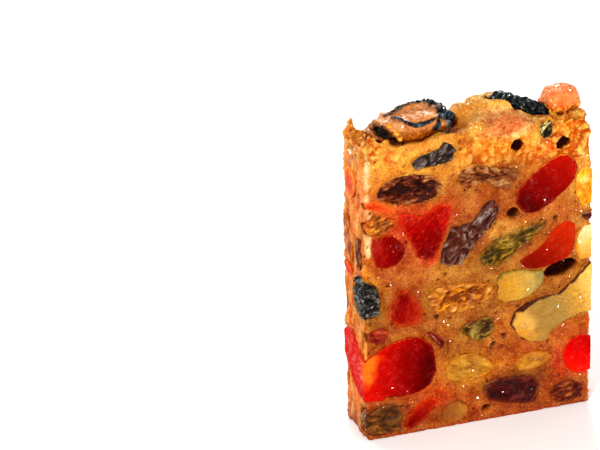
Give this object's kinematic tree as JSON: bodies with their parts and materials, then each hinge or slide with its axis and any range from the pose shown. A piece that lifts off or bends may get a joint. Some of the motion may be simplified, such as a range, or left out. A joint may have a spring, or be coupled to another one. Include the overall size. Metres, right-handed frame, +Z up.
{
  "type": "fruit cake loaf slice",
  "caption": "Upright slice of rich fruit cake loaf with glace cherries, raisins, peel and nuts cut flush in its faces and a lumpy baked crust on top.",
  "frame": {"origin": "centre of the flat base, half way through the slice's thickness", "axes": "+Z up from the base, +X across the slice to the right seen from the front, the front cut face looks to -Y"},
  "size_m": [0.06, 0.015, 0.0834],
  "materials": {
    "apricot": "peach-orange glazed fruit",
    "cake": "moist fine-grained crumb with a browned, crumbly crust",
    "cherry": "translucent glossy candied cherry",
    "citron": "streaked olive candied citron",
    "nut": "pale waxy nut flesh with thin brown skin",
    "orange": "translucent orange-red candied cherry",
    "peel": "sticky brown candied peel",
    "prune": "blue-black glazed fruit under baked batter",
    "raisin": "dark wrinkled dried grape",
    "sultana": "golden translucent dried grape"
  },
  "bodies": {
    "root": {"cake": "cake", "prune_swirl": "prune", "prune_strip": "prune", "apricot_lump": "apricot", "raisin_crust": "raisin", "raisin_ridge": "raisin", "raisin_wide": "raisin", "raisin_flat": "raisin", "cherry_long": "cherry", "cherry_wedge": "cherry", "cherry_sliver": "cherry", "raisin_long": "raisin", "sultana_left": "sultana", "cherry_small": "cherry", "citron_green": "citron", "cherry_orange": "orange", "raisin_corner": "raisin", "cherry_faint": "cherry", "sultana_mid": "sultana", "walnut_small": "nut", "walnut_large": "nut", "nut_edge": "nut", "sultana_edge": "sultana", "raisin_edge": "raisin", "cherry_edge": "cherry", "cherry_big": "cherry", "peel_left": "peel", "peel_shoulder": "peel", "raisin_olive": "raisin", "sultana_gold": "sultana", "sultana_pale": "sultana", "peel_maroon": "peel", "raisin_base": "raisin", "peel_base": "peel", "cherry_base": "cherry", "nut_base": "nut", "cherry_left_high": "cherry", "peel_side": "peel", "raisin_side": "raisin", "cherry_side_sliver": "cherry", "cherry_right": "cherry", "sultana_right": "sultana", "raisin_right": "raisin", "raisin_back_high": "raisin", "cherry_back_high": "cherry", "sultana_back_high": "sultana", "walnut_back": "nut", "sultana_back_mid": "sultana", "raisin_back_mid": "raisin", "cherry_back_mid": "cherry", "citron_back": "citron", "nut_back": "nut", "raisin_back_low": "raisin", "sultana_back_low": "sultana", "cherry_back_low": "cherry"}
  },
  "joints": []
}
